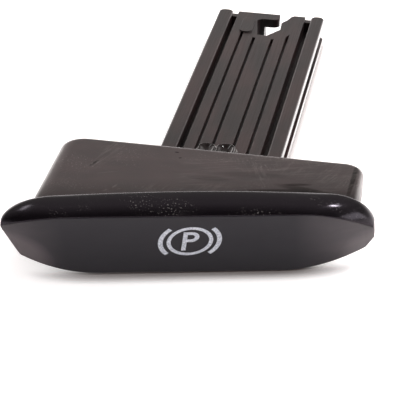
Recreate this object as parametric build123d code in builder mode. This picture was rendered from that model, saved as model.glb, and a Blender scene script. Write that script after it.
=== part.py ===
from build123d import *
import os
from math import radians, sin, sqrt, tan

# Release handle for a parking brake: a wide grip bar, the finger box behind it
# and a long flat rail that slides in a guide and carries the cable hook.
# Millimetres. X runs across the rail, Y from the grip to the hook, Z is up.
# The origin is on the rail's mid-line, in the plane of its underside, below the box's rear wall.

# Slide rail
rail_width = 35.4
rail_height = 9.5
rail_length = 134.6
top_plate = 2.8
lower_flange = 2.3
guide_depth = 2.4
wide_groove = 2.0
wide_groove_depth = 4.0
wide_groove_x = (-12.05, 12.45)
wide_groove_stop = 130.0
groove_end_depth = 0.8
narrow_groove = 1.0
narrow_groove_depth = 1.5
narrow_groove_x = (-7.35, -2.9, 3.15, 7.75)
narrow_groove_stop = 116.4
bar_end_radius = 1.85
bar_end_round = 0.6
end_notch = 1.9
tongue_width = 26.0
tongue_height = 6.0
tongue_length = 12.0
tongue_base = 1.8
core_width = 19.0
core_depth = 2.8
core_count = 5
core_gap = 2.0
core_start = 9.0
core_stop = 104.0

# Cable hook at the rail's end
eye_left = ((-2.2, 112.6), (-4.2, 127.8))
eye_corner = 2.3
throat_left = -1.6
hook_inner = 127.8
hook_rear = 133.6
hook_tip = 2.9
hook_lip = 3.5
hook_thickness = 2.8
eye_ramp = ((0.9, 112.6), (4.6, 119.2), (4.3, 125.6), (5.9, 128.6), (6.9, 132.2), (9.0, 134.6))
hook_centre = (0.3, 117.4)
hook_pad_radius = 8.1
boss_width = 4.2
boss_length = 13.0
boss_centre = (-6.5, 120.4)
boss_rise = 0.4

# Finger box
box_left, box_right = -42.5, 43.0
box_top = 17.0
box_wall = 2.2
box_skirt = 7.0
box_corners = (7.0, 5.8)
box_edge = 2.0
box_rear = box_wall / 2
back_width = 39.0
socket_wall = 2.4
socket_roof = tongue_base + tongue_height + socket_wall
socket_width = tongue_width + 2 * socket_wall
socket_length = tongue_length + socket_wall
plate_front = -1.2
inner_left, inner_right = box_left + box_wall, box_right - box_wall

# Grip bar: it runs across the rail at a slant, and its sections stand along the rail,
# with t to the front. Paired values are for the left and the right end.
grip_slant = tan(radians(15.0))
grip_centre = (-0.4, -38.95)
grip_half = 48.3
nose_flat, rear_flat, lip_flat = 30.0, 36.0, 24.0
end_steps = 10
nose_t, nose_z = 5.5, 17.0
rear_t, rear_z = -3.1, 20.5
lip_t, lip_z = -5.5, -5.0
nose_sweep, nose_curl, nose_drop = 5.0, 2.5, (4.2, 6.2)
rear_arch, rear_drop, rear_fall = (1.5, 2.0), (5.8, 8.4), 0.98
lip_sweep, lip_rise = 4.6, (5.6, 6.0)
corner_run, corner_share, corner_curl = (3.0, 2.4), (0.72, 0.3), 1.6
crown_lead, crown_rise = 0.45, 1.0
step_height, step_fade = 3.5, 0.85
panel_thickness = 2.2
backing_thickness = 1.8
panel_top, backing_top, backing_foot = 0.9, 0.8, 0.12
end_thinning = 0.4

# Weld bead on the rail behind the box: centre, radius and far end of each lobe
bead_lobes = ((-4.4, 2.5, 19.2), (0.9, 3.3, 19.9))
bead_height = 2.2
bead_edge = 1.2


def grip_line(x):
    """Y of the grip bar's own line at x."""
    return grip_centre[1] + (x - grip_centre[0]) * grip_slant


def grip_plane(x):
    """Section plane of the grip bar at x: local x is t, local y is Z."""
    return Plane(origin=(x, grip_line(x), 0), x_dir=(0, -1, 0), z_dir=(-1, 0, 0))


def end_value(pair, x):
    """The left or the right value of a pair."""
    return pair[0] if x < grip_centre[0] else pair[1]


def ease(x, flat):
    """0 over the flat middle of the bar, rising to 1 at its ends."""
    return max(0.0, abs(x - grip_centre[0]) - flat) / (grip_half - flat)


def nose(x):
    """Crease between the rim and the face panel."""
    u = ease(x, nose_flat)
    return nose_t - nose_sweep * u**nose_curl, nose_z - end_value(nose_drop, x) * u**2


def rear(x):
    """Upper rear edge of the rim, arched, and rolled down at both ends."""
    u, arch = ease(x, rear_flat), end_value(rear_arch, x) * ease(x, 0.0) ** 2
    return rear_t, rear_z - arch - end_value(rear_drop, x) * (1 - sqrt(1 - rear_fall * u**2))


def lip(x):
    """Lower line of the face, swept back and up at both ends."""
    u = ease(x, lip_flat)
    return lip_t - lip_sweep * u**2, lip_z + end_value(lip_rise, x) * u**2


def corner_cut(x):
    """Share of the face's height that its round lower corners take away."""
    u = ease(x, grip_half - end_value(corner_run, x))
    return end_value(corner_share, x) * u**corner_curl


def inward(x, depth, share):
    """Point behind the face at a share of its height; walls thin towards the ends."""
    (t0, z0), (t1, z1) = lip(x), nose(x)
    depth *= 1 - end_thinning * ease(x, rear_flat)
    slant = sqrt((t1 - t0) ** 2 + (z1 - z0) ** 2)
    across, up = (z1 - z0) / slant, (t1 - t0) / slant
    return t0 + share * (t1 - t0) - depth * across, z0 + share * (z1 - z0) + depth * up


# Stations of the grip's sections: few in the middle, and crowding together at the ends
end_run = [lip_flat + (grip_half - lip_flat) * sin(radians(90 * step / end_steps))
           for step in range(end_steps + 1)]
middle_run = [-lip_flat / 2, 0.0, lip_flat / 2]
stations = [grip_centre[0] + x for x in [-x for x in reversed(end_run)] + middle_run + end_run]

# Face panel: a leaning skin with swept ends
with BuildPart() as face_panel:
    for x in stations:
        with BuildSketch(grip_plane(x)):
            with BuildLine():
                Polyline(inward(x, 0.0, corner_cut(x)), nose(x),
                         inward(x, panel_thickness, panel_top),
                         inward(x, panel_thickness, corner_cut(x)), close=True)
            make_face()
    loft(ruled=True)

# Rim: the rolled upper edge of the grip with the wall that backs the panel
with BuildPart() as grip_rim:
    for x in stations:
        (t0, z0), (t1, z1) = nose(x), rear(x)
        crown = ((t0 + t1) / 2 + crown_lead, (z0 + z1) / 2 + crown_rise)
        depth = panel_thickness + backing_thickness
        step = step_height * (1 - step_fade * ease(x, rear_flat))
        foot = max(backing_foot, corner_cut(x))
        with BuildSketch(grip_plane(x)):
            with BuildLine():
                ThreePointArc(nose(x), crown, rear(x))
                Polyline(rear(x), (t1, z1 - step), inward(x, depth, backing_top),
                         inward(x, depth, foot), inward(x, panel_thickness, foot),
                         inward(x, panel_thickness, panel_top), nose(x))
            make_face()
    loft(ruled=True)

# Finger box: top plate and skirt, with the socket that takes the rail's tongue
with BuildPart() as finger_box:
    with BuildSketch(Plane.XY.offset(box_top)):
        with BuildLine():
            Polyline((box_left, grip_line(box_left) - plate_front), (box_left, box_rear),
                     (box_right, box_rear),
                     (box_right, grip_line(box_right) - plate_front), close=True)
        make_face()
    extrude(amount=-box_skirt)
    for end, radius in enumerate(box_corners):
        rear_corners = finger_box.edges().filter_by(Axis.Z).filter_by_position(Axis.Y, 0, box_rear)
        fillet(rear_corners.sort_by(Axis.X)[-end], radius=radius)
    top_rim = finger_box.faces().sort_by(Axis.Z)[-1].edges()
    front_edge = top_rim.sort_by(Axis.Y)[0]
    fillet([edge for edge in top_rim if edge != front_edge], radius=box_edge)
    with BuildSketch(Plane.XY.offset(box_top - box_wall)) as hollow:
        with BuildLine():
            Polyline((inner_left, grip_line(inner_left) - plate_front - box_wall),
                     (inner_left, -box_rear), (inner_right, -box_rear),
                     (inner_right, grip_line(inner_right) - plate_front - box_wall), close=True)
        make_face()
        for end, radius in enumerate(box_corners):
            corners = hollow.vertices().filter_by_position(Axis.Y, -box_rear, 0)
            fillet(corners.sort_by(Axis.X)[-end], radius=radius - box_wall)
    extrude(amount=-box_skirt, mode=Mode.SUBTRACT)
    with BuildSketch(Plane.XY):
        Rectangle(back_width, box_wall)
    extrude(amount=box_top - box_wall)
    with BuildSketch(Plane.XY):
        with Locations((0, box_rear - socket_length / 2)):
            Rectangle(socket_width, socket_length)
    extrude(amount=socket_roof)
    with BuildSketch(Plane.XY.offset(socket_roof)):
        with Locations((0, box_rear - socket_length / 2)):
            with GridLocations(socket_width - box_wall, 0, 2, 1):
                Rectangle(box_wall, socket_length)
    extrude(amount=box_top - box_wall - socket_roof)
    with BuildSketch(Plane.XZ.offset(-box_rear)):
        with Locations((0, tongue_base + tongue_height / 2)):
            Rectangle(tongue_width, tongue_height)
    extrude(amount=tongue_length, mode=Mode.SUBTRACT)
    add((face_panel.part, grip_rim.part), mode=Mode.SUBTRACT)

# Slide rail: grooved top, guide grooves along both sides and a cored underside
with BuildPart() as slide_rail:
    with BuildSketch(Plane.XZ.offset(-rail_length)):
        with Locations((0, rail_height / 2)):
            Rectangle(rail_width, rail_height)
        for x in wide_groove_x:
            with Locations((x, rail_height - groove_end_depth / 2)):
                Rectangle(wide_groove, groove_end_depth, mode=Mode.SUBTRACT)
    extrude(amount=rail_length - box_rear)

    # The wide grooves rise to a web and run out as notches between the round noses of the bars
    with BuildSketch(Plane.XY.offset(rail_height)):
        for x in wide_groove_x:
            with Locations((x, wide_groove_stop / 2)):
                Rectangle(wide_groove, wide_groove_stop)
    extrude(amount=-wide_groove_depth, mode=Mode.SUBTRACT)
    with BuildSketch(Plane.XY):
        for x in wide_groove_x:
            with Locations((x, rail_length)):
                Rectangle(wide_groove, 2 * end_notch)
        with Locations((sum(wide_groove_x) / 2, rail_length)):
            Rectangle(wide_groove_x[1] - wide_groove_x[0], 2 * (rail_length - hook_rear))
    extrude(amount=rail_height, mode=Mode.SUBTRACT)
    bar_ends = slide_rail.edges().filter_by(Axis.Z).group_by(Axis.Y)[-1]
    fillet(bar_ends, radius=bar_end_radius)
    bar_tops = slide_rail.faces().filter_by(Axis.Z).group_by(Axis.Z)[-1].edges()
    fillet(bar_tops.filter_by_position(Axis.Y, wide_groove_stop, rail_length), radius=bar_end_round)
    with BuildSketch(Plane.XZ.offset(-rail_length)):
        with Locations((0, (rail_height - top_plate + lower_flange) / 2)):
            with GridLocations(rail_width - guide_depth, 0, 2, 1):
                Rectangle(guide_depth, rail_height - top_plate - lower_flange)
    extrude(amount=rail_length, mode=Mode.SUBTRACT)
    with BuildSketch(Plane.XZ.offset(-box_rear)):
        with Locations((0, tongue_base + tongue_height / 2)):
            Rectangle(tongue_width, tongue_height)
    extrude(amount=tongue_length)

    # Narrow grooves stop on an arc round the hook
    with BuildSketch(Plane.XY.offset(rail_height)):
        for x in narrow_groove_x:
            with Locations((x, narrow_groove_stop / 2)):
                Rectangle(narrow_groove, narrow_groove_stop)
        with Locations(hook_centre):
            Circle(hook_pad_radius, mode=Mode.SUBTRACT)
    extrude(amount=-narrow_groove_depth, mode=Mode.SUBTRACT)

    # Coring under the rail, in pockets with cross ribs between them
    pitch = (core_stop - core_start) / core_count
    with BuildSketch(Plane.XY):
        with Locations((0, (core_start + core_stop) / 2)):
            with GridLocations(0, pitch, 1, core_count):
                RectangleRounded(core_width, pitch - core_gap, core_gap)
    extrude(amount=core_depth, mode=Mode.SUBTRACT)

    # Hook: a thin tongue from the left, behind an eye that is open through the rail
    with BuildSketch(Plane.XY) as eye:
        with BuildLine():
            Polyline(eye_left[0], *eye_ramp, (hook_tip, rail_length), (hook_tip, hook_rear),
                     (hook_lip, hook_inner), eye_left[1], close=True)
        make_face()
        fillet(eye.vertices().filter_by_position(Axis.Y, hook_inner, hook_inner), radius=eye_corner)
    extrude(amount=rail_height, mode=Mode.SUBTRACT)
    with BuildSketch(Plane.XY):
        with Locations((throat_left, hook_inner)):
            Rectangle(hook_lip - throat_left, rail_length - hook_inner, align=(Align.MIN, Align.MIN))
    extrude(amount=rail_height - hook_thickness, mode=Mode.SUBTRACT)
    with BuildSketch(Plane.XY.offset(rail_height)):
        with Locations(boss_centre):
            SlotOverall(boss_length, boss_width, rotation=90)
    extrude(amount=boss_rise)

# Weld bead: two lobes of melted plastic that bond the rail to the box
with BuildPart() as weld_bead:
    with BuildSketch(Plane.XY.offset(rail_height)):
        for x, radius, end in bead_lobes:
            with Locations((x, end - radius)):
                Circle(radius)
                Rectangle(2 * radius, end - radius - box_rear, align=(Align.CENTER, Align.MAX))
    extrude(amount=bead_height)
    bead_rim = weld_bead.faces().sort_by(Axis.Z)[-1].edges().sort_by(Axis.Y)
    fillet(bead_rim[1:], radius=bead_edge)

os.makedirs("parts", exist_ok=True)
nodes = {"finger_box": finger_box, "grip_rim": grip_rim, "face_panel": face_panel,
         "slide_rail": slide_rail, "weld_bead": weld_bead}
for name, piece in nodes.items():
    piece.part.label = name
    export_step(piece.part, f"parts/{name}.step")
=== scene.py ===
import logging
from collections.abc import Callable
from dataclasses import dataclass
from enum import Enum
from math import atan2, cos, pi, radians, sin, sqrt, tan

import bmesh
import bpy
from mathutils import Matrix, Vector


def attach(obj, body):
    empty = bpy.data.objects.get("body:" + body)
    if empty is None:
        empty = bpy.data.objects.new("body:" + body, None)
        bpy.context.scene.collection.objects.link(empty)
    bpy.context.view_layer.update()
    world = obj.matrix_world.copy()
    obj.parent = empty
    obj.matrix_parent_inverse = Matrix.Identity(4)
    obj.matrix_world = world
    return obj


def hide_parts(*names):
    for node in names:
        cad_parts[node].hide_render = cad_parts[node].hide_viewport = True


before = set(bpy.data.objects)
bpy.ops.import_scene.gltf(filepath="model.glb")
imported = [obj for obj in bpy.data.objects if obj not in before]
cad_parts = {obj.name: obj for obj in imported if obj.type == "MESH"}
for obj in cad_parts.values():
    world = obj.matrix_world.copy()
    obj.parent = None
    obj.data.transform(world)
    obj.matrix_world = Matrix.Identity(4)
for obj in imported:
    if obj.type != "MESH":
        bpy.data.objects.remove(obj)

log = logging.getLogger("handle")
MM = 0.001
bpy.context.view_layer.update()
WHITE = (1.0, 1.0, 1.0, 1.0)
BLACK = (0.0, 0.0, 0.0, 1.0)
PLAIN_SPECULAR = 0.5
SAME_POINT = 0.002
FLAT_WEIGHT = 100

Pair = tuple[float, float]
Triple = tuple[float, float, float]
Rgba = tuple[float, float, float, float]
Stops = tuple[Pair, ...]
Node = bpy.types.Node
Socket = bpy.types.NodeSocket
Output = Node | Socket
Number = float | Output
Tint = str | Rgba | Output
Section = Callable[[float], list[Pair]]
BMesh = bmesh.types.BMesh
Rings = list[list[bmesh.types.BMVert]]


class Slot(Enum):
    """Material slots of the record."""

    RIM = "gloss_rim"
    FACE = "satin_face"
    BOX = "box_plastic"
    RAIL = "rail_plastic"
    WELD = "weld_plastic"


def linear(colour: str) -> Rgba:
    """Turns a hex sRGB colour into linear RGBA.

    Args:
        colour: six hex digits, with or without a leading #.

    Returns:
        Linear red, green, blue and an alpha of 1.
    """
    digits = colour.lstrip("#")
    channels = [int(digits[i:i + 2], 16) / 255 for i in (0, 2, 4)]
    return (*[c / 12.92 if c <= 0.04045 else ((c + 0.055) / 1.055) ** 2.4 for c in channels], 1.0)


class Tree:
    """A node tree with one short way to add a node, its settings and its links."""

    def __init__(self, tree: bpy.types.NodeTree) -> None:
        """Empties the tree.

        Args:
            tree: the tree of a material or of the world.
        """
        self.tree = tree
        tree.nodes.clear()

    def add(self, kind: str, inputs: dict | tuple = (), stops: Stops = (),
            **settings: object) -> Node:
        """Adds a node.

        Args:
            kind: the node's type without its ShaderNode prefix.
            inputs: values or outputs for its sockets, in order or by name or number. A node
                stands for its first output.
            stops: pairs of position and grey level for a ramp, rising.
            **settings: the node's own properties.

        Returns:
            The new node.
        """
        node = self.tree.nodes.new("ShaderNode" + kind)
        for name, value in settings.items():
            setattr(node, name, value)
        if stops:
            band = node.color_ramp
            while len(band.elements) < len(stops):
                band.elements.new(1.0)
            for element, (position, level) in zip(band.elements, stops):
                element.position, element.color = position, (level, level, level, 1.0)
        for name, value in inputs.items() if isinstance(inputs, dict) else enumerate(inputs):
            if isinstance(value, Node):
                value = value.outputs[0]
            if isinstance(value, Socket):
                self.tree.links.new(value, node.inputs[name])
            else:
                node.inputs[name].default_value = value
        return node

    def stretched(self, scale: Triple, turn: Triple = (0, 0, 0), seed: float = 0.0) -> Node:
        """Object coordinates, turned and then scaled per axis.

        Args:
            scale: cells per millimetre along each axis.
            turn: Euler angles in degrees.
            seed: shift in cells, so that two patterns differ.

        Returns:
            The node that gives the vector.
        """
        place = self.add("TexCoord").outputs["Object"]
        turned = self.add("Mapping", {"Vector": place, "Rotation": [-radians(a) for a in turn]})
        return self.add("Mapping", {"Vector": turned, "Scale": [s / MM for s in scale],
                                    "Location": (seed,) * 3})

    def pattern(self, scale: Triple, turn: Triple = (0, 0, 0), seed: float = 0.0,
                detail: float = 2.0, rough: float = 0.5) -> Node:
        """Noise that is fixed to the piece and has cells of a real size.

        Args:
            scale: cells per millimetre along each axis.
            turn: Euler angles in degrees.
            seed: shift in cells, so that two patterns differ.
            detail: how many finer layers it has.
            rough: how strong each finer layer is.

        Returns:
            The node that gives the factor.
        """
        return self.add("TexNoise", {"Vector": self.stretched(scale, turn, seed), "Scale": 1.0,
                                     "Detail": detail, "Roughness": rough})

    def place(self, axis: str, turn: float = 0.0) -> Socket:
        """Object coordinate along one axis in millimetres, turned about Z by degrees."""
        return self.add("SeparateXYZ", (self.stretched((1, 1, 1), (0, 0, turn)),)).outputs[axis]

    def facing(self) -> Node:
        """The surface's own direction, with one output per axis."""
        return self.add("SeparateXYZ", (self.add("NewGeometry").outputs["True Normal"],))

    def layers(self, base: Tint, *coats: tuple[Number, Tint]) -> Socket:
        """Lays tints over a colour, one after the other.

        Args:
            base: the lowest colour, a hex sRGB or linear constant or an output.
            *coats: pairs of a factor and a tint, which is given in the same ways.

        Returns:
            The output of the last coat.
        """
        for factor, tint in coats:
            low, high = (linear(c) if isinstance(c, str) else c for c in (base, tint))
            coat = self.add("Mix", {0: factor, 6: low, 7: high}, data_type="RGBA")
            base = coat.outputs[2]
        return base

    def total(self, factors: list[Output]) -> Output:
        """Adds up factors and holds the sum between 0 and 1.

        Args:
            factors: outputs to add up.

        Returns:
            The output or node that gives the sum.
        """
        result = factors[0]
        for factor in factors[1:]:
            result = self.add("Math", (result, factor), operation="ADD", use_clamp=True)
        return result


@dataclass(frozen=True)
class Mark:
    """A soft oval patch of wear or dirt on a flat top, in millimetres and degrees."""

    x: float
    y: float
    long: float
    wide: float
    turn: float
    strength: float

    def draw(self, tree: Tree) -> Node:
        """Draws the patch, full over its middle half and soft outside.

        Args:
            tree: the material's tree.

        Returns:
            A factor from 0 to the mark's strength.
        """
        full, softness = 0.5, 0.3
        scale = (2 / (self.long * MM), 2 / (self.wide * MM), 0.0)
        place = tree.add("TexCoord").outputs["Object"]
        moved = tree.add("VectorMath", (place, (self.x * MM, self.y * MM, 0.0)),
                         operation="SUBTRACT")
        turned = tree.add("VectorRotate", {"Vector": moved, "Angle": radians(-self.turn)})
        scaled = tree.add("VectorMath", (turned, scale), operation="MULTIPLY")
        away = tree.add("VectorMath", (scaled,), operation="LENGTH").outputs["Value"]
        near = tree.add("Math", (1.0, away), operation="SUBTRACT", use_clamp=True)
        soft = tree.add("Math", (near, full, softness), operation="SMOOTH_MIN")
        return tree.add("Math", (soft, self.strength / full), operation="MULTIPLY")


@dataclass(frozen=True)
class Scratches:
    """Fine broken lines: turn in degrees from X, spacing and length in millimetres.

    The width is a share of the spacing, the share says how much of the surface has lines, and
    the seed makes each pattern its own.
    """

    turn: float
    spacing: float
    length: float
    width: float
    share: float
    seed: float

    def draw(self, tree: Tree) -> Node:
        """Draws the lines, in patches that are a little longer than one line.

        Args:
            tree: the material's tree.

        Returns:
            A factor from 0 to 1.
        """
        patch, first, last, gain = 0.6, 0.62, 0.7, 0.3
        turn = (0, 0, self.turn)
        lines = tree.pattern((1 / self.length, 1 / self.spacing, 1 / self.spacing), turn, self.seed)
        off = tree.add("Math", (lines, 0.5), operation="SUBTRACT")
        near = tree.add("Math", (off,), operation="ABSOLUTE")
        share = tree.add("Math", (near, self.width), operation="DIVIDE")
        line = tree.add("Math", (1.0, share), operation="SUBTRACT", use_clamp=True)
        patches = tree.pattern((patch / self.length,) * 3, turn, self.seed + 3.0)
        stops = ((first - gain * self.share, 0.0), (last - gain * self.share, 1.0))
        mask = tree.add("ValToRGB", (patches,), stops)
        return tree.add("Math", (line, mask), operation="MULTIPLY")


@dataclass(frozen=True)
class Flecks:
    """Small light specks in clusters: spacing in millimetres and how rare they are."""

    size: float
    rare: float
    seed: float

    def draw(self, tree: Tree) -> Node:
        """Strews the specks.

        Args:
            tree: the material's tree.

        Returns:
            A factor from 0 to 1.
        """
        cluster_cells, edge, cluster_range = (0.07, 0.1, 0.1), 0.06, ((0.5, 0.0), (0.62, 1.0))
        points = tree.pattern((1 / self.size,) * 3, seed=self.seed, detail=1.0)
        speck = tree.add("ValToRGB", (points,), ((self.rare, 0.0), (self.rare + edge, 1.0)))
        clusters = tree.pattern(cluster_cells, seed=self.seed + 5.0)
        cover = tree.add("ValToRGB", (clusters,), cluster_range)
        return tree.add("Math", (speck, cover), operation="MULTIPLY")


@dataclass(frozen=True)
class Plastic:
    """A moulded plastic. Subclasses add the pattern that its surface has."""

    name: str
    colour: str
    roughness: float
    slot: Slot
    ior: float = 1.5
    edge: float = 0.0
    gloss: float = 0.0
    gloss_roughness: float = 0.12
    edge_samples: int = 6

    def relief(self, tree: Tree, height: Output, depth: float) -> Node:
        """Adds a relief of a real depth, over hard edges shaded as if slightly rounded.

        Args:
            tree: the material's tree.
            height: output between 0 and 1.
            depth: height of the relief in millimetres.

        Returns:
            The node that gives the new normal.
        """
        inputs = {"Height": height, "Strength": 1.0, "Distance": depth * MM}
        if self.edge:
            inputs["Normal"] = tree.add("Bevel", {"Radius": self.edge * MM},
                                        samples=self.edge_samples)
        return tree.add("Bump", inputs)

    def uneven(self, tree: Tree, pattern: Output, spread: float) -> Node:
        """Lets the roughness drift around its plain value, by a spread that follows a pattern."""
        return tree.add("Math", (pattern, spread, self.roughness - spread / 2),
                        operation="MULTIPLY_ADD")

    def surface(self, tree: Tree) -> dict:
        """Says how the surface differs from the plain plastic.

        Args:
            tree: the material's tree.

        Returns:
            Inputs of the Principled shader that replace the plain ones.
        """
        raise NotImplementedError

    def build(self) -> bpy.types.Material:
        """Makes the node-based material.

        Returns:
            The new material.
        """
        material = bpy.data.materials.new(self.name)
        material.use_nodes = True
        tree = Tree(material.node_tree)
        inputs = {"Base Color": linear(self.colour), "Roughness": self.roughness, "IOR": self.ior,
                  "Coat Weight": self.gloss, "Coat Roughness": self.gloss_roughness}
        shader = tree.add("BsdfPrincipled", inputs | self.surface(tree))
        tree.add("OutputMaterial", {"Surface": shader})
        return material


@dataclass(frozen=True)
class PolishedRim(Plastic):
    """Polished black ABS: a dark mirror that only fine scratches and handling dull."""

    haze_cells: Triple = (0.08, 0.3, 0.3)
    haze_spread: float = 0.12
    lines: tuple[Scratches, ...] = (Scratches(80, 0.9, 14, 0.025, 0.3, 0.0),
                                    Scratches(100, 1.1, 12, 0.02, 0.25, 7.0),
                                    Scratches(15, 0.8, 14, 0.025, 0.3, 12.0))
    line_dulling: float = 0.12
    line_light: float = 0.08
    specks: Flecks = Flecks(0.45, 0.64, 11.0)
    wear_and_sheen: str = "#8a8582"
    worn_share: float = 0.3
    mirror_tint: str = "#f8ebfd"

    def surface(self, tree: Tree) -> dict:
        """Handling haze, fine crosswise scratches and specks.

        Args:
            tree: the material's tree.

        Returns:
            Inputs of the Principled shader that replace the plain ones.
        """
        haze = tree.pattern(self.haze_cells, detail=3.0)
        rough = self.uneven(tree, haze, self.haze_spread)
        lines = tree.total([scratches.draw(tree) for scratches in self.lines])
        scuffed = tree.add("Math", (lines, self.line_dulling, rough), operation="MULTIPLY_ADD")
        light = tree.add("Math", (lines, self.line_light), operation="MULTIPLY")
        wear_and_sheen = tree.total([light, self.specks.draw(tree)])
        cover = tree.add("Math", (wear_and_sheen, self.worn_share), operation="MULTIPLY")
        edges = tree.add("Bevel", {"Radius": self.edge * MM}, samples=self.edge_samples)
        return {"Base Color": tree.layers(self.colour, (cover, self.wear_and_sheen)), "Roughness": scuffed,
                "Normal": edges, "Specular Tint": linear(self.mirror_tint)}


@dataclass(frozen=True)
class SatinFace(Plastic):
    """Satin ABS of the face: a wide, soft sheen over very fine grain.

    Both ends are lighter, partly hand wear and partly painted reflection. The lightening grows
    with the distance from `middle`, as a share of `reach`, both in millimetres along X.
    """

    grain_cells: Triple = (3.0, 3.0, 3.0)
    grain_depth: float = 0.012
    drift_cells: Triple = (0.05, 0.12, 0.12)
    drift_spread: float = 0.16
    drift_cover: Stops = ((0.3, 0.3), (0.7, 1.0))
    middle: float = -2.5
    reach: float = 50.0
    ends: Stops = ((0.6, 0.0), (1.0, 1.0))
    # Lighter patches at both ends: partly wear, partly painted highlight.
    marks: tuple[Mark, ...] = (Mark(-44.5, -44.5, 19.0, 12.0, 15, 0.75),
                               Mark(45.0, -22.0, 12.0, 9.0, 15, 0.3))
    # Tint of the wear and of the painted reflection.
    wear_and_sheen: str = "#585155"

    def surface(self, tree: Tree) -> dict:
        """Fine grain, slow drift of the sheen, and ends lighter from hand wear and painted
        reflection.

        Args:
            tree: the material's tree.

        Returns:
            Inputs of the Principled shader that replace the plain ones.
        """
        drift = tree.pattern(self.drift_cells, seed=4.0, detail=3.0)
        # Wear and painted reflection: lighter towards both ends.
        off = tree.add("Math", (tree.place("X"), self.middle), operation="SUBTRACT")
        away = tree.add("Math", (off,), operation="ABSOLUTE")
        share = tree.add("Math", (away, self.reach), operation="DIVIDE")
        ends = tree.add("ValToRGB", (share,), self.ends)
        cover = tree.add("ValToRGB", (drift,), self.drift_cover)
        rubbed = tree.add("Math", (ends, cover), operation="MULTIPLY")
        wear_and_sheen = tree.total([rubbed] + [mark.draw(tree) for mark in self.marks])
        grain = tree.pattern(self.grain_cells)
        return {"Base Color": tree.layers(self.colour, (wear_and_sheen, self.wear_and_sheen)),
                "Roughness": self.uneven(tree, drift, self.drift_spread),
                "Normal": self.relief(tree, grain, self.grain_depth)}


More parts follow.
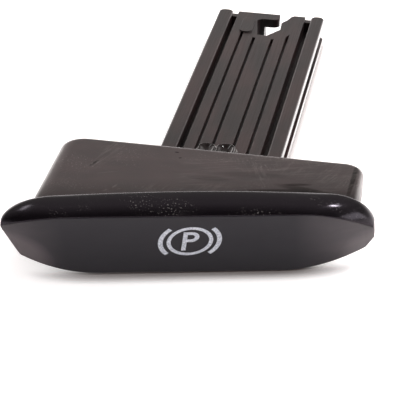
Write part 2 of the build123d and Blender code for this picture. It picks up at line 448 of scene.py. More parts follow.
@dataclass(frozen=True)
class BoxAbs(Plastic):
    """Smooth moulded ABS of the box: brown-black, with rubbed streaks, dust and smudges.

    The side edges get painted highlights, from `left_edge` and `right_edge` inwards over bands.
    Next to the rim the top is painted darker, as shade, and made duller, within `corner` of the
    line along the rim.
    """

    cloud_cells: Triple = (0.08, 0.2, 0.1)
    cloud_turn: float = 5.0
    cloud_range: Stops = ((0.35, 0.0), (0.65, 1.0))
    cloud_spread: float = 0.3
    cloud_tint: str = "#352727"
    fine_cells: Triple = (0.9, 0.9, 0.9)
    fine_depth: float = 0.008
    top_range: Stops = ((0.7, 0.0), (0.9, 1.0))
    lines: tuple[Scratches, ...] = (Scratches(70, 1.0, 16, 0.03, 0.4, 1.0),
                                    Scratches(20, 1.1, 20, 0.03, 0.3, 5.0),
                                    Scratches(110, 1.2, 14, 0.025, 0.3, 9.0))
    line_light: float = 0.4
    specks: Flecks = Flecks(0.5, 0.63, 21.0)
    marks: tuple[Mark, ...] = (
        Mark(-24.4, -33.2, 2.2, 0.7, 60, 0.5), Mark(-22.4, -30.0, 3.2, 0.8, 70, 0.6),
        Mark(-21.0, -31.5, 2.0, 0.5, 40, 0.4), Mark(-25.9, -21.5, 7.0, 0.6, 25, 0.25))
    # Dark smudges. The narrow mark at x 40.6 is a painted reflection: a dark band along the rounded
    # right edge.
    stains: tuple[Mark, ...] = (
        Mark(-30.8, -16.6, 6.0, 1.2, 70, 0.7), Mark(-9.7, -3.9, 1.6, 0.9, 0, 0.9),
        Mark(-8.2, -7.5, 1.3, 0.8, 30, 0.8), Mark(12.4, -14.3, 22.0, 5.0, 8, 0.3),
        Mark(27.0, -20.0, 16.0, 4.0, -10, 0.45), Mark(2.0, -19.0, 14.0, 4.0, 5, 0.3),
        Mark(20.0, -25.0, 34.0, 7.0, 15, 0.9), Mark(26.0, -17.5, 9.0, 2.0, 12, 0.5),
        Mark(27.0, -9.0, 44.0, 18.0, 0, 0.18), Mark(40.6, -8.0, 34.0, 1.8, 88, 0.8),
        Mark(-2.0, -30.0, 26.0, 3.0, 15, 0.4))
    dust: str = "#8d8480"
    dust_share: float = 0.4
    stain: str = "#0d0a09"
    stain_dulling: float = 0.25
    # Painted highlights along both side edges of the box.
    left_edge: float = -42.5
    left_band: float = 4.0
    right_edge: float = 42.6
    right_band: float = 1.0
    edge_power: float = 1.6
    edge_highlight_share: float = 0.5
    edge_highlight_tint: str = "#8d8583"
    # Painted shade on the top next to the rim.
    rim_turn: float = 15.0
    corner_scale: Pair = (0.03, 1.3)
    corner: Stops = ((0.3, 1.0), (0.75, 0.0))
    corner_share: float = 0.85
    rim_shade_tint: str = "#120d0c"
    corner_dulling: float = 0.2
    mirror_loss: float = 0.42

    def edge_highlights(self, tree: Tree) -> Node:
        """Finds the side edges of the box, where highlights are painted.

        Args:
            tree: the material's tree.

        Returns:
            A factor that rises from 0 to 1 at both sides.
        """
        across = tree.place("X")
        sides = []
        for ends, band in (((self.left_edge, across), self.left_band),
                           ((across, self.right_edge), self.right_band)):
            beyond = tree.add("Math", ends, operation="SUBTRACT")
            share = tree.add("Math", (beyond, band), operation="DIVIDE")
            sides.append(tree.add("Math", (share, 1.0), operation="ADD", use_clamp=True))
        both = tree.add("Math", tuple(sides), operation="MAXIMUM")
        return tree.add("Math", (both, self.edge_power), operation="POWER")

    def on_top(self, tree: Tree, marks: tuple[Mark, ...]) -> Node:
        """Draws a group of marks on the faces that look up.

        Args:
            tree: the material's tree.
            marks: the group.

        Returns:
            A factor from 0 to 1.
        """
        up = tree.add("ValToRGB", (tree.facing().outputs["Z"],), self.top_range)
        drawn = tree.total([mark.draw(tree) for mark in marks])
        return tree.add("Math", (up, drawn), operation="MULTIPLY")

    def surface(self, tree: Tree) -> dict:
        """Mottling, rubbed streaks, light scuffs, dark stains, and painted highlights and shade.

        Args:
            tree: the material's tree.

        Returns:
            Inputs of the Principled shader that replace the plain ones.
        """
        cloud = tree.pattern(self.cloud_cells, (0, 0, self.cloud_turn), detail=5.0, rough=0.7)
        mottling = tree.add("ValToRGB", (cloud,), self.cloud_range)
        dark = self.on_top(tree, self.stains)
        lines = tree.total([scratches.draw(tree) for scratches in self.lines])
        streaks = tree.add("Math", (lines, self.line_light), operation="MULTIPLY")
        dusty = tree.total([streaks, self.specks.draw(tree), self.on_top(tree, self.marks)])
        dust = tree.add("Math", (dusty, self.dust_share), operation="MULTIPLY")
        # Painted highlights on the side edges.
        edges = tree.add("Math", (self.edge_highlights(tree), self.edge_highlight_share), operation="MULTIPLY")
        # Painted shade next to the rim: the top is darker and duller there.
        along = tree.add("Math", (tree.place("Y", self.rim_turn), *self.corner_scale),
                         operation="MULTIPLY_ADD")
        near = tree.add("ValToRGB", (along,), self.corner)
        corner = tree.add("Math", (near, self.corner_share), operation="MULTIPLY")
        tint = tree.layers(self.colour, (mottling, self.cloud_tint), (dark, self.stain),
                           (dust, self.dust), (edges, self.edge_highlight_tint), (corner, self.rim_shade_tint))
        rough = self.uneven(tree, cloud, self.cloud_spread)
        for factor, dulling in ((dark, self.stain_dulling), (corner, self.corner_dulling)):
            rough = tree.add("Math", (factor, dulling, rough), operation="MULTIPLY_ADD")
        mirror = tree.add("Math", (tree.total([near, dark]), -self.mirror_loss, PLAIN_SPECULAR),
                          operation="MULTIPLY_ADD")
        fine = tree.pattern(self.fine_cells, seed=2.0)
        return {"Base Color": tint, "Roughness": rough, "Specular IOR Level": mirror,
                "Normal": self.relief(tree, fine, self.fine_depth)}


@dataclass(frozen=True)
class RailAbs(Plastic):
    """Moulded rail: duller than the box, browner in patches, with flow lines along it.

    The side faces beyond `guided` millimetres are polished by the guide they slide in. Shade is
    painted dark into the grooves, within a set reach of their walls, and onto the ends at the
    front; the inner side walls are painted lighter, as light.
    """

    guided: float = 16.5
    guided_range: Stops = ((0.85, 0.0), (0.95, 1.0))
    guided_gloss: float = 0.2
    flow_cells: Triple = (2.4, 0.05, 1.0)
    flow_range: Stops = ((0.3, 0.0), (0.75, 0.5))
    flow_spread: float = 0.4
    flow_tint: str = "#342c2b"
    patch_cells: Triple = (0.11, 0.035, 0.1)
    patch_range: Stops = ((0.42, 0.0), (0.62, 1.0))
    patch_tint: str = "#2b1918"
    fine_cells: Triple = (1.6, 1.1, 1.6)
    fine_depth: float = 0.012
    lines: tuple[Scratches, ...] = (Scratches(88, 0.9, 22, 0.03, 0.4, 2.0),
                                    Scratches(60, 1.3, 16, 0.025, 0.25, 8.0))
    line_light: float = 0.05
    scuff: str = "#857e7a"
    top_range: Stops = ((0.5, 0.0), (0.8, 1.0))
    front_range: Stops = ((0.6, 0.0), (0.9, 1.0))
    # Painted light on the inner side walls.
    wall_light_share: float = 0.25
    wall_light_tint: str = "#33292a"
    # Painted shade in the grooves and on the ends that face the front.
    painted_shade: str = "#070505"
    shade_reach: float = 3.0
    shade_range: Stops = ((0.4, 1.0), (0.8, 0.0))
    shade_share: float = 0.62
    shade_samples: int = 8
    mirror_loss: float = 0.4

    def recess_shade(self, tree: Tree) -> Node:
        """Finds the recesses where shade is painted, as a factor from 0 to 1."""
        node = tree.add("AmbientOcclusion", {"Distance": self.shade_reach * MM},
                        samples=self.shade_samples)
        return tree.add("ValToRGB", (node.outputs["AO"],), self.shade_range)

    def dirt(self, tree: Tree) -> Node:
        """Painted shade in the grooves of the top and on the ends that face the front.

        Args:
            tree: the material's tree.

        Returns:
            A factor from 0 to 1.
        """
        facing = tree.facing().outputs
        top = tree.add("ValToRGB", (facing["Z"],), self.top_range)
        deep = tree.add("Math", (self.recess_shade(tree), top), operation="MULTIPLY")
        forward = tree.add("Math", (facing["Y"], -1.0), operation="MULTIPLY")
        front = tree.add("ValToRGB", (forward,), self.front_range)
        most = tree.add("Math", (deep, front), operation="MAXIMUM")
        return tree.add("Math", (most, self.shade_share), operation="MULTIPLY")

    def surface(self, tree: Tree) -> dict:
        """Flow lines, brown patches, scuffs from sliding, painted light on inner walls, painted
        shade.

        Args:
            tree: the material's tree.

        Returns:
            Inputs of the Principled shader that replace the plain ones.
        """
        flow = tree.pattern(self.flow_cells, detail=4.0, rough=0.65)
        streaks = tree.add("ValToRGB", (flow,), self.flow_range)
        spots = tree.pattern(self.patch_cells, seed=6.0)
        patches = tree.add("ValToRGB", (spots,), self.patch_range)
        lines = tree.total([scratches.draw(tree) for scratches in self.lines])
        scuffs = tree.add("Math", (lines, self.line_light), operation="MULTIPLY")
        # Painted light: the inner side walls are lighter.
        sideways = tree.add("Math", (tree.facing().outputs["X"],), operation="ABSOLUTE")
        away = tree.add("Math", (tree.place("X"),), operation="ABSOLUTE")
        outer = tree.add("Math", (away, self.guided), operation="GREATER_THAN")
        inner = tree.add("Math", (self.wall_light_share, outer), operation="SUBTRACT", use_clamp=True)
        lit_walls = tree.add("Math", (sideways, inner), operation="MULTIPLY")
        # Painted shade in the grooves and on the front ends.
        painted_shade = self.dirt(tree)
        tint = tree.layers(self.colour, (patches, self.patch_tint), (streaks, self.flow_tint),
                           (scuffs, self.scuff), (lit_walls, self.wall_light_tint), (painted_shade, self.painted_shade))
        side = tree.add("Math", (sideways, outer), operation="MULTIPLY")
        polished = tree.add("ValToRGB", (side,), self.guided_range)
        rough = self.uneven(tree, flow, self.flow_spread)
        rough = tree.add("Math", (polished, -self.guided_gloss, rough), operation="MULTIPLY_ADD")
        mirror = tree.add("Math", (painted_shade, -self.mirror_loss, PLAIN_SPECULAR),
                          operation="MULTIPLY_ADD")
        fine = tree.pattern(self.fine_cells, seed=2.0)
        return {"Base Color": tint, "Roughness": rough, "Specular IOR Level": mirror,
                "Normal": self.relief(tree, fine, self.fine_depth)}


@dataclass(frozen=True)
class MeltedAbs(Plastic):
    """Melted and set again: wet gloss with small waves, and a painted highlight along its outline.
    """

    wave_cells: Triple = (0.7, 0.5, 0.7)
    wave_depth: float = 0.04
    # Painted highlight along the outline, where the surface turns away from the view.
    outline: Stops = ((0.68, 0.0), (0.95, 1.0))
    skin: str = "#8f8683"

    def surface(self, tree: Tree) -> dict:
        """Waves of the flow, and a painted highlight along the outline.

        Args:
            tree: the material's tree.

        Returns:
            Inputs of the Principled shader that replace the plain ones.
        """
        # Painted highlight: lighter where the surface turns away from the view.
        away = tree.add("LayerWeight", {"Blend": 0.5}).outputs["Facing"]
        skin = tree.add("ValToRGB", (away,), self.outline)
        waves = tree.pattern(self.wave_cells)
        return {"Base Color": tree.layers(self.colour, (skin, self.skin)),
                "Normal": self.relief(tree, waves, self.wave_depth)}


@dataclass(frozen=True)
class PadInk(Plastic):
    """Pad-printed ink: opaque, flat and a little uneven in cover."""

    cover_cells: Triple = (2.5, 2.5, 2.5)
    cover_range: Stops = ((0.35, 0.0), (0.7, 1.0))
    thin: str = "#a3a9b5"

    def surface(self, tree: Tree) -> dict:
        """Uneven cover of the ink.

        Args:
            tree: the material's tree.

        Returns:
            Inputs of the Principled shader that replace the plain ones.
        """
        spots = tree.pattern(self.cover_cells, detail=3.0)
        cover = tree.add("ValToRGB", (spots,), self.cover_range)
        return {"Base Color": tree.layers(self.thin, (cover, self.colour))}


def piece(bm: BMesh, name: str, finish: bpy.types.Material,
          crease: float = 35.0) -> bpy.types.Object:
    """Turns a bmesh in millimetres into a smooth-shaded object at the origin.

    Args:
        bm: the finished bmesh, which is freed.
        name: the piece's name.
        finish: its material.
        crease: angle in degrees above which an edge stays sharp.

    Returns:
        The new object, linked to the scene.
    """
    bmesh.ops.scale(bm, vec=(MM,) * 3, verts=bm.verts)
    bmesh.ops.recalc_face_normals(bm, faces=bm.faces)
    for face in bm.faces:
        face.smooth = True
    for edge in bm.edges:
        edge.smooth = len(edge.link_faces) == 2 and edge.calc_face_angle(0.0) < radians(crease)
    mesh = bpy.data.meshes.new(name)
    bm.to_mesh(mesh)
    bm.free()
    mesh.materials.append(finish)
    made = bpy.data.objects.new(name, mesh)
    bpy.context.scene.collection.objects.link(made)
    log.info("%s: %d faces", name, len(mesh.polygons))
    return made


def merged_copy(node: str, flat: float = 0.4) -> BMesh:
    """Copies a CAD node as one joined mesh, in millimetres.

    Args:
        node: the CAD node's name.
        flat: angle in degrees below which neighbouring faces become one.

    Returns:
        The copy as a bmesh.
    """
    bm = bmesh.new()
    bm.from_mesh(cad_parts[node].data)
    bmesh.ops.remove_doubles(bm, verts=bm.verts, dist=SAME_POINT * MM)
    bmesh.ops.dissolve_limit(bm, angle_limit=radians(flat), verts=bm.verts, edges=bm.edges)
    bmesh.ops.scale(bm, vec=(1 / MM,) * 3, verts=bm.verts)
    return bm


def flatten_normals(made: bpy.types.Object) -> None:
    """Lets the large flat faces set the shading, so that only the edge rounds bend the light.

    Args:
        made: the piece to shade.
    """
    weighted = made.modifiers.new("flat_faces", "WEIGHTED_NORMAL")
    weighted.keep_sharp = True
    weighted.weight = FLAT_WEIGHT


@dataclass
class Grip:
    """The grip bar: rim and face panel, swept through the same leaning sections.

    A section is drawn in t, the distance in front of the bar's slanted line, and z. Pairs named
    after a point hold its t and z in the middle of the bar; all other pairs hold a value for the
    left and one for the right end. The section changes only beyond the flat middle, whose half
    length is nose_flat, rear_flat or lip_flat.
    """

    slant: float = tan(radians(15.0))
    centre: Pair = (-0.4, -38.95)
    half: float = 48.3
    nose_flat: float = 30.0
    rear_flat: float = 36.0
    lip_flat: float = 24.0
    nose_at: Pair = (5.5, 17.0)
    rear_at: Pair = (-3.1, 20.5)
    lip_at: Pair = (-5.5, -5.0)
    nose_sweep: float = 5.0
    nose_curl: float = 2.5
    nose_drop: Pair = (4.2, 6.2)
    rear_arch: Pair = (1.5, 2.0)
    rear_drop: Pair = (5.8, 8.4)
    rear_fall: float = 0.98
    lip_sweep: float = 4.6
    lip_rise: Pair = (5.6, 6.0)
    corner_run: Pair = (3.0, 2.4)
    corner_share: Pair = (0.72, 0.3)
    corner_curl: float = 1.6
    crown: Pair = (0.45, 1.0)
    step: float = 3.5
    step_fade: float = 0.85
    skin: float = 2.2
    backing: float = 1.8
    panel_top: float = 0.9
    backing_top: float = 0.8
    backing_foot: float = 0.12
    thinning: float = 0.4
    nose_round: float = 0.25
    rear_round: float = 0.35
    lip_round: float = 0.7
    crease_round: float = 0.2
    round_steps: int = 4
    crown_points: int = 20
    end_steps: int = 44
    middle_steps: int = 16

    def line(self, x: float) -> float:
        """Y of the bar's own line at x."""
        return self.centre[1] + (x - self.centre[0]) * self.slant

    def side(self, pair: Pair, x: float) -> float:
        """The left or the right value of a pair."""
        return pair[0] if x < self.centre[0] else pair[1]

    def ease(self, x: float, flat: float) -> float:
        """0 over the flat middle, rising to 1 at both ends."""
        return max(0.0, abs(x - self.centre[0]) - flat) / (self.half - flat)

    def nose(self, x: float) -> Pair:
        """Crease between rim and face at x, as t and z."""
        u = self.ease(x, self.nose_flat)
        return (self.nose_at[0] - self.nose_sweep * u**self.nose_curl,
                self.nose_at[1] - self.side(self.nose_drop, x) * u**2)

    def rear(self, x: float) -> Pair:
        """Upper rear edge of the rim at x, as t and z.

        Args:
            x: station along the bar.

        Returns:
            The point as t and z.
        """
        u = self.ease(x, self.rear_flat)
        arch = self.side(self.rear_arch, x) * self.ease(x, 0.0) ** 2
        fall = self.side(self.rear_drop, x) * (1 - sqrt(1 - self.rear_fall * u**2))
        return self.rear_at[0], self.rear_at[1] - arch - fall

    def lip(self, x: float) -> Pair:
        """Lower edge of the face at x, as t and z."""
        u = self.ease(x, self.lip_flat)
        return (self.lip_at[0] - self.lip_sweep * u**2,
                self.lip_at[1] + self.side(self.lip_rise, x) * u**2)

    def corner_cut(self, x: float) -> float:
        """Share of the face's height that its round lower corners take away."""
        u = self.ease(x, self.half - self.side(self.corner_run, x))
        return self.side(self.corner_share, x) * u**self.corner_curl

    def inward(self, x: float, depth: float, share: float) -> Pair:
        """Point behind the face at a share of its height.

        Args:
            x: station along the bar.
            depth: distance behind the face in the middle of the bar.
            share: 0 at the lip and 1 at the nose.

        Returns:
            The point as t and z.
        """
        (t0, z0), (t1, z1) = self.lip(x), self.nose(x)
        depth *= 1 - self.thinning * self.ease(x, self.rear_flat)
        slant = sqrt((t1 - t0) ** 2 + (z1 - z0) ** 2)
        return (t0 + share * (t1 - t0) - depth * (z1 - z0) / slant,
                z0 + share * (z1 - z0) + depth * (t1 - t0) / slant)

    def arc(self, x: float) -> list[Pair]:
        """Points of the rim's crown from the nose to the rear edge.

        Args:
            x: station along the bar.

        Returns:
            Points as t and z, both ends among them.
        """
        (t0, z0), (t1, z1) = self.nose(x), self.rear(x)
        top = (t0 + t1) / 2 + self.crown[0], (z0 + z1) / 2 + self.crown[1]
        ax, ay, bx, by = top[0] - t0, top[1] - z0, t1 - t0, z1 - z0
        scale = 2 * (ax * by - ay * bx)
        square_a, square_b = ax * ax + ay * ay, bx * bx + by * by
        ct = t0 + (by * square_a - ay * square_b) / scale
        cz = z0 + (ax * square_b - bx * square_a) / scale
        radius = sqrt((t0 - ct) ** 2 + (z0 - cz) ** 2)
        start, end = atan2(z0 - cz, t0 - ct), atan2(z1 - cz, t1 - ct)
        steps = self.crown_points
        turns = [start + (end - start) * k / steps for k in range(steps + 1)]
        return [(ct + radius * cos(a), cz + radius * sin(a)) for a in turns]

    def rim_section(self, x: float) -> list[Pair]:
        """Outline of the rim with its backing wall at x.

        Args:
            x: station along the bar.

        Returns:
            Points as t and z, from the nose over the crown and back behind the face.
        """
        t1, z1 = self.rear(x)
        step = self.step * (1 - self.step_fade * self.ease(x, self.rear_flat))
        deep = self.skin + self.backing
        foot = max(self.backing_foot, self.corner_cut(x))
        return self.arc(x) + [(t1, z1 - step), self.inward(x, deep, self.backing_top),
                              self.inward(x, deep, foot), self.inward(x, self.skin, foot),
                              self.inward(x, self.skin, self.panel_top)]

    def face_section(self, x: float) -> list[Pair]:
        """Outline of the face panel at x."""
        cut = self.corner_cut(x)
        return [self.inward(x, 0.0, cut), self.nose(x), self.inward(x, self.skin, self.panel_top),
                self.inward(x, self.skin, cut)]

    def stations(self) -> list[float]:
        """Places of the sections along the bar, crowding together at the ends.

        Returns:
            Rising x in millimetres.
        """
        run = self.half - self.lip_flat
        ends = [self.lip_flat + run * sin(pi / 2 * k / self.end_steps)
                for k in range(self.end_steps + 1)]
        middle = [self.lip_flat * (2 * k / self.middle_steps - 1)
                  for k in range(1, self.middle_steps)]
        return [self.centre[0] + x for x in [-x for x in reversed(ends)] + middle + ends]

    def sweep(self, section: Section) -> tuple[BMesh, Rings]:
        """Draws a closed section out through all stations.

        Args:
            section: method that gives the outline at x.

        Returns:
            The bmesh in millimetres, and its vertices per station.
        """
        bm = bmesh.new()
        places = self.stations()
        first = bmesh.ops.create_circle(bm, segments=len(section(places[0])), radius=1.0)["verts"]
        edges = list({edge for vert in first for edge in vert.link_edges})
        rings = [first]
        for _ in places[1:]:
            grown = bmesh.ops.extrude_edge_only(bm, edges=edges)["geom"]
            twins = [item for item in grown if isinstance(item, bmesh.types.BMVert)]
            edges = [item for item in grown if isinstance(item, bmesh.types.BMEdge)
                     and all(vert in twins for vert in item.verts)]
            ring = [next(edge.other_vert(vert) for edge in vert.link_edges
                         if edge.other_vert(vert) in twins) for vert in rings[-1]]
            rings.append(ring)
        for x, ring in zip(places, rings):
            for vert, (t, z) in zip(ring, section(x)):
                vert.co = (x, self.line(x) - t, z)
        bmesh.ops.contextual_create(bm, geom=rings[0])
        bmesh.ops.contextual_create(bm, geom=rings[-1])
        return bm, rings

    def round_chains(self, bm: BMesh, rings: Rings, rounds: dict[int, float]) -> None:
        """Rounds edges that run along the bar.

        Args:
            bm: the swept bmesh.
            rings: its vertices per station.
            rounds: number of a point in the section to the edge round in millimetres.
        """
        chains = {place: [bm.edges.get((a[place], b[place])) for a, b in zip(rings, rings[1:])]
                  for place in rounds}
        for place, radius in rounds.items():
            bmesh.ops.bevel(bm, geom=chains[place], offset=radius, offset_type="OFFSET",
                            segments=self.round_steps, profile=0.5, affect="EDGES",
                            clamp_overlap=True, material=-1)

    def build(self, rim_finish: Plastic, face_finish: Plastic) -> None:
        """Makes the rim and the face panel.

        Args:
            rim_finish: plastic of the rim.
            face_finish: plastic of the face panel.
        """
        bm, rings = self.sweep(self.rim_section)
        self.round_chains(bm, rings, {0: self.nose_round, self.crown_points: self.rear_round})
        rim = piece(bm, "grip_rim_shell", rim_finish.build())
        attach(rim, "root")
        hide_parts("grip_rim")
        bm, rings = self.sweep(self.face_section)
        self.round_chains(bm, rings, {0: self.lip_round, 1: self.crease_round})
        face = piece(bm, "face_panel_skin", face_finish.build())
        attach(face, "root")
        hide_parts("face_panel")


@dataclass
class Symbol:
    """Generic parking brake pictogram, pad-printed on the face: ring, letter P and two arcs.

    It is drawn in units of the ring's mid radius and laid on the face plane, where `across` and
    `up` say in millimetres how far one unit reaches.
    """

    centre: Triple = (0.099, -39.568, 7.496)
    across: Triple = (5.5065, 1.4089, 0.1333)
    up: Triple = (0.743, -2.2869, 4.972)
    ring_stroke: float = 0.19
    arc_radius: float = 1.393
    arc_stroke: float = 0.225
    arc_half: float = 0.766
    stem_at: float = -0.25
    stem_stroke: float = 0.21
    stem_half: float = 0.71
    bowl_width: float = 0.77
    bowl_height: float = 0.77
    thickness: float = 0.03
    turn_steps: int = 96
    fewest_steps: int = 8
    same_turn: float = 0.001
    same_point: float = 0.0001

    def band(self, bm: BMesh, radius: float, stroke: float, start: float, angle: float,
             at: Pair = (0.0, 0.0)) -> None:
        """Spins a flat stroke round a centre.

        Args:
            bm: bmesh to draw in.
            radius: radius of the stroke's middle.
            stroke: its width.
            start: start angle in radians from the across direction.
            angle: angle it runs through.
            at: centre of the turn.
        """
        ends = [Vector((at[0] + r * cos(start), at[1] + r * sin(start), 0.0))
                for r in (radius - stroke / 2, radius + stroke / 2)]
        verts = [bmesh.ops.create_vert(bm, co=end)["vert"][0] for end in ends]
        edge = bmesh.ops.contextual_create(bm, geom=verts)["edges"]
        steps = max(self.fewest_steps, round(self.turn_steps * angle / (2 * pi)))
        bmesh.ops.spin(bm, geom=verts + edge, cent=(*at, 0.0), axis=(0, 0, 1), angle=angle,
                       steps=steps, use_merge=angle > 2 * pi - self.same_turn,
                       use_duplicate=False)

    def bar(self, bm: BMesh, low: Pair, high: Pair) -> None:
        """Draws a flat rectangle between two corners.

        Args:
            bm: bmesh to draw in.
            low: lower left corner.
            high: upper right corner.
        """
        made = bmesh.ops.create_grid(bm, x_segments=1, y_segments=1, size=0.5)["verts"]
        bmesh.ops.scale(bm, vec=(high[0] - low[0], high[1] - low[1], 1.0), verts=made)
        middle = ((low[0] + high[0]) / 2, (low[1] + high[1]) / 2, 0.0)
        bmesh.ops.translate(bm, vec=middle, verts=made)

    def print_on(self, bm: BMesh, name: str, finish: bpy.types.Material) -> None:
        """Thickens a flat drawing and lays it on the face.

        Args:
            bm: the flat drawing in ring radii.
            name: the piece's name.
            finish: the print's material.
        """
        a, u = Vector(self.across), Vector(self.up)
        normal = a.cross(u).normalized()
        grown = bmesh.ops.extrude_face_region(bm, geom=bm.faces[:])["geom"]
        tops = [item for item in grown if isinstance(item, bmesh.types.BMVert)]
        bmesh.ops.translate(bm, vec=(0, 0, self.thickness), verts=tops)
        columns = (a, u, normal, self.centre)
        place = Matrix([[c[i] for c in columns] for i in range(3)] + [[0, 0, 0, 1]])
        bmesh.ops.transform(bm, matrix=place, verts=bm.verts)
        made = piece(bm, name, finish)
        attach(made, "root")

    def build(self, finish: bpy.types.Material) -> None:
        """Makes ring, letter and both arcs.

        Args:
            finish: the print's material.
        """
        bm = bmesh.new()
        self.band(bm, 1.0, self.ring_stroke, 0.0, 2 * pi)
        self.print_on(bm, "symbol_ring", finish)
        bm = bmesh.new()
        half = self.stem_stroke / 2
        self.bar(bm, (self.stem_at - half, -self.stem_half), (self.stem_at + half, self.stem_half))
        radius = (self.bowl_height - self.stem_stroke) / 2
        run = self.bowl_width - self.bowl_height / 2
        top = self.stem_half - half
        bend = self.stem_at - half + run
        for level in (top, top - 2 * radius):
            self.bar(bm, (self.stem_at + half, level - half), (bend, level + half))
        self.band(bm, radius, self.stem_stroke, -pi / 2, pi, (bend, top - radius))
        bmesh.ops.remove_doubles(bm, verts=bm.verts, dist=self.same_point)
        self.print_on(bm, "symbol_letter", finish)
        for name, middle in (("symbol_arc_right", 0.0), ("symbol_arc_left", pi)):
            bm = bmesh.new()
            self.band(bm, self.arc_radius, self.arc_stroke, middle - self.arc_half,
                      2 * self.arc_half)
            self.print_on(bm, name, finish)


@dataclass
class CadCopy:
    """A piece that keeps the CAD solid's shape: a joined copy whose edges the plastic rounds."""

    node: str
    name: str
    crease: float = 30.0

    def build(self, finish: Plastic) -> None:
        """Makes the piece.

        Args:
            finish: its plastic.
        """
        made = piece(merged_copy(self.node), self.name, finish.build(), self.crease)
        flatten_normals(made)
        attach(made, "root")
        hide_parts(self.node)


@dataclass
class FingerBox(CadCopy):
    """The box behind the grip."""

    node: str = "finger_box"
    name: str = "finger_box_shell"


@dataclass
class SlideRail(CadCopy):
    """The grooved rail with the cable hook."""

    node: str = "slide_rail"
    name: str = "slide_rail_body"


@dataclass(frozen=True)
class Lobe:
    """One drop of the bead in millimetres: place along X, radius, far end in Y and height."""

    x: float
    radius: float
    end: float
    height: float


@dataclass
class WeldBead:
    """Melted plastic between box and rail: two drops and the neck that joins them.

    Every drop is drawn out towards the box's wall, sinks in on top by the share `dish` and
    spreads at its foot by `flare` millimetres.
    """

    lobes: tuple[Lobe, ...] = (Lobe(-4.1, 2.8, 19.3, 2.3), Lobe(-1.5, 2.0, 18.3, 1.6),
                               Lobe(1.4, 3.1, 19.8, 2.6))
    base: float = 9.5
    root: float = 1.0
    flare: float = 0.4
    flare_height: float = 0.25
    segments: tuple[int, int] = (32, 20)
    dish: float = 0.92
    dish_reach: float = 0.82
    crease: float = 60.0
    voxel: float = 0.13
    softening: float = 0.5
    soft_steps: int = 6

    def drop(self, bm: BMesh, lobe: Lobe) -> None:
        """Adds one drop that is drawn out to the box's wall.

        Args:
            bm: bmesh to draw in, in millimetres.
            lobe: the drop's place and size.
        """
        across, upward = self.segments
        made = bmesh.ops.create_uvsphere(bm, u_segments=across, v_segments=upward,
                                         radius=1.0)["verts"]
        bmesh.ops.scale(bm, vec=(lobe.radius, lobe.radius, lobe.height), verts=made)
        middle = lobe.end - lobe.radius
        for vert in made:
            x, y = vert.co.x, vert.co.y
            away = (x**2 + max(0.0, y) ** 2) / (lobe.radius * self.dish_reach) ** 2
            vert.co.z *= 1 - self.dish * max(0.0, 1 - away)
            vert.co.y = y if y > 0 else -(middle - self.root) * min(1.0, -y / lobe.radius)
        bmesh.ops.translate(bm, vec=(lobe.x, middle, self.base), verts=made)

    def build(self, finish: Plastic) -> None:
        """Makes the bead.

        Args:
            finish: its plastic.
        """
        bm = bmesh.new()
        for lobe in self.lobes:
            self.drop(bm, lobe)
            self.drop(bm, Lobe(lobe.x, lobe.radius + self.flare, lobe.end + self.flare,
                               lobe.height * self.flare_height))
        made = piece(bm, "weld_bead_blob", finish.build(), self.crease)
        remesh = made.modifiers.new("melt", "REMESH")
        remesh.mode = "VOXEL"
        remesh.voxel_size = self.voxel * MM
        remesh.use_smooth_shade = True
        smooth = made.modifiers.new("soften", "SMOOTH")
        smooth.factor, smooth.iterations = self.softening, self.soft_steps
        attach(made, "root")
        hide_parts("weld_bead")


@dataclass(frozen=True)
class Lamp:
    """A soft area lamp: place and size in millimetres, power in watts.

    Only a mirrored lamp shows in glossy surfaces.
    """

    name: str
    at: Triple
    size: Pair
    power: float
    mirrored: bool = False

    def hang(self, aim: Triple) -> None:
        """Adds the lamp to the scene.

        Args:
            aim: the point it faces, in millimetres.
        """
        data = bpy.data.lights.new(self.name, "AREA")
        data.shape, data.size, data.size_y = "RECTANGLE", self.size[0] * MM, self.size[1] * MM
        data.energy = self.power
        lamp = bpy.data.objects.new(self.name, data)
        lamp.location = Vector(self.at) * MM
        lamp.rotation_euler = (Vector(aim) - Vector(self.at)).to_track_quat("-Z", "Y").to_euler()
        lamp.visible_glossy = self.mirrored
        bpy.context.scene.collection.objects.link(lamp)


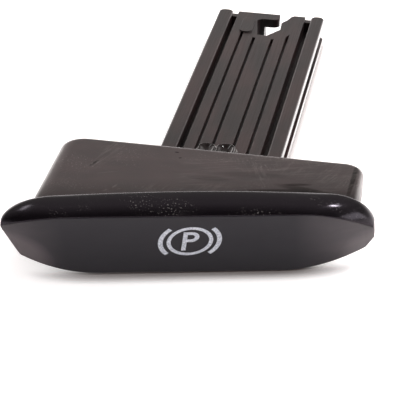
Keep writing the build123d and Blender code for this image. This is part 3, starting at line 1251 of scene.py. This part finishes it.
@dataclass
class Studio:
    """Camera, floor, surroundings and lamps.

    The hall's brightness follows its height (`sky`) and runs from front to back (`turn`), with a
    low bright band in front (`low_front`). The floor is white paper: it glows to the camera
    except within `contact` millimetres of the object, and to glossy surfaces only behind the box
    (`far_range`, in shares of `far_reach` along Y).
    """

    eye: Triple = (75.15138, -560.84521, 267.75875)
    right: Triple = (0.98711824, 0.15558352, 0.03730078)
    above: Triple = (-0.0997004, 0.41583972, 0.90395639)
    ahead: Triple = (-0.12512957, 0.89603074, -0.42599471)
    lens: float = 198.0
    sensor: float = 36.0
    clip: Pair = (0.01, 20.0)
    lip_touch: Pair = (-27.0, -5.0)
    rail_touch: Pair = (134.6, 0.0)
    floor_size: float = 3000.0
    floor_gap: float = 0.05
    sky: Stops = ((0.0, 1.0), (0.14, 0.8), (0.26, 0.3), (0.42, 0.11), (0.65, 0.15), (1.0, 0.21))
    sky_strength: float = 2.0
    turn: Stops = ((0.34, 0.04), (0.6, 1.0))
    low_front: Stops = ((0.25, 0.6), (0.5, 0.0))
    paint: str = "#fffaf8"
    unlit: Rgba = (0.01, 0.01, 0.011, 1.0)
    paper: str = "#eee7e6"
    shade: str = "#8f8280"
    glow: float = 0.56
    contact: float = 7.0
    contact_range: Stops = ((0.35, 0.0), (0.78, 1.0))
    contact_samples: int = 16
    far_reach: float = 100.0
    far_range: Stops = ((0.1, 0.0), (0.6, 1.0))
    aim: Triple = (0.0, 40.0, 5.0)
    lamps: tuple[Lamp, ...] = (
        Lamp("key_softbox", (520, 260, 760), (1000, 800), 9.0),
        Lamp("front_softbox", (-60, -600, 650), (1500, 900), 5.5),
        Lamp("left_window", (-414, 160, 570), (230, 70), 0.2, mirrored=True),
        Lamp("right_window", (375, 125, 605), (40, 80), 0.6, mirrored=True),
        Lamp("right_wall", (700, -30, 300), (320, 200), 0.4, mirrored=True))

    def camera(self) -> None:
        """Stands the camera where the photograph was taken from."""
        data = bpy.data.cameras.new("photo")
        data.lens, data.sensor_width = self.lens, self.sensor
        data.clip_start, data.clip_end = self.clip
        camera = bpy.data.objects.new("photo", data)
        back = [-a for a in self.ahead]
        columns = (self.right, self.above, back, [e * MM for e in self.eye])
        camera.matrix_world = Matrix([[c[i] for c in columns] for i in range(3)] + [[0, 0, 0, 1]])
        bpy.context.scene.collection.objects.link(camera)
        bpy.context.scene.camera = camera

    def floor_finish(self) -> bpy.types.Material:
        """Makes the white paper, darker in the object's contact shadow.

        Returns:
            The new material.
        """
        material = bpy.data.materials.new("pale_floor")
        material.use_nodes = True
        tree = Tree(material.node_tree)
        path = tree.add("LightPath").outputs
        open_sky = tree.add("AmbientOcclusion", {"Distance": self.contact * MM},
                            samples=self.contact_samples)
        bare = tree.add("ValToRGB", (open_sky.outputs["AO"],), self.contact_range)
        unseen = tree.add("Math", (1.0, path["Is Camera Ray"]), operation="SUBTRACT")
        plain = tree.add("Math", (bare, unseen), operation="MAXIMUM")
        paper = tree.add("BsdfDiffuse", {"Color": tree.layers(self.shade, (plain, self.paper))})
        bright = tree.add("Math", (bare, self.glow), operation="MULTIPLY")
        seen = tree.add("Math", (path["Is Camera Ray"], bright), operation="MULTIPLY")
        share = tree.add("Math", (tree.place("Y"), self.far_reach), operation="DIVIDE")
        far = tree.add("ValToRGB", (share,), self.far_range)
        strength = tree.add("Math", (path["Is Glossy Ray"], far, seen), operation="MULTIPLY_ADD")
        glow = tree.add("Emission", {"Color": WHITE, "Strength": strength})
        tree.add("OutputMaterial", {"Surface": tree.add("AddShader", (paper, glow))})
        return material

    def floor(self) -> None:
        """Lays the pale floor under the lip and the rail's end."""
        bm = bmesh.new()
        bmesh.ops.create_grid(bm, x_segments=1, y_segments=1, size=self.floor_size / 2)
        (y0, z0), (y1, z1) = self.lip_touch, self.rail_touch
        lean = atan2(z1 - z0, y1 - y0)
        bmesh.ops.rotate(bm, cent=(0, 0, 0), matrix=Matrix.Rotation(lean, 3, "X"), verts=bm.verts)
        bmesh.ops.translate(bm, vec=(0, y0, z0 - self.floor_gap), verts=bm.verts)
        piece(bm, "floor", self.floor_finish())

    def world(self) -> None:
        """Surroundings: white to the camera, and a soft white hall to everything else."""
        world = bpy.data.worlds.new("hall")
        bpy.context.scene.world = world
        world.use_nodes = True
        tree = Tree(world.node_tree)
        way = tree.add("SeparateXYZ", (tree.add("TexCoord").outputs["Generated"],)).outputs
        level = tree.add("ValToRGB", (way["Z"],), self.sky)
        depth = tree.add("Math", (way["Y"], 0.5, 0.5), operation="MULTIPLY_ADD")
        behind = tree.add("ValToRGB", (depth,), self.turn)
        low = tree.add("ValToRGB", (way["Z"],), self.low_front)
        lit = tree.add("Math", (behind, low), operation="MAXIMUM")
        colour = tree.layers(self.unlit, (lit, tree.layers(BLACK, (level, self.paint))))
        hall = tree.add("Background", {"Color": colour, "Strength": self.sky_strength})
        white = tree.add("Background", {"Color": WHITE, "Strength": 1.0})
        seen = tree.add("LightPath").outputs["Is Camera Ray"]
        tree.add("OutputWorld", {"Surface": tree.add("MixShader", (seen, hall, white))})

    def build(self) -> None:
        """Sets up camera, floor, world and lamps."""
        self.camera()
        self.floor()
        self.world()
        for lamp in self.lamps:
            lamp.hang(self.aim)
        bpy.context.scene.view_settings.view_transform = "Standard"


def main() -> None:
    logging.basicConfig(level=logging.INFO, format="%(name)s %(message)s")
    # Polished black ABS: a dark mirror that shows the hall as thin streaks.
    rim = PolishedRim("rim_polished_abs", "#0a0709", 0.15, Slot.RIM, edge=0.45)
    # Satin ABS of the face: wide soft sheen, slightly blue.
    face = SatinFace("face_satin_abs", "#15131c", 0.48, Slot.FACE, edge=0.6)
    # Smooth moulded ABS of the box: brownish under the bright hall.
    box = BoxAbs("box_smooth_abs", "#271c1c", 0.34, Slot.BOX, edge=1.6, gloss=0.3)
    # Moulded rail: duller than the box, with flow lines along it.
    rail = RailAbs("rail_moulded_abs", "#150e0e", 0.38, Slot.RAIL, ior=1.46, edge=0.25, gloss=0.1)
    # Melted plastic: wet-looking gloss.
    weld = MeltedAbs("weld_melted_abs", "#140c0b", 0.08, Slot.WELD)
    # Pad-print ink: flat, light blue-grey.
    ink = PadInk("pad_print_ink", "#e2e6ee", 0.5, Slot.FACE)
    Grip().build(rim, face)
    Symbol().build(ink.build())
    FingerBox().build(box)
    SlideRail().build(rail)
    WeldBead().build(weld)
    Studio().build()


if __name__ == "__main__":
    main()
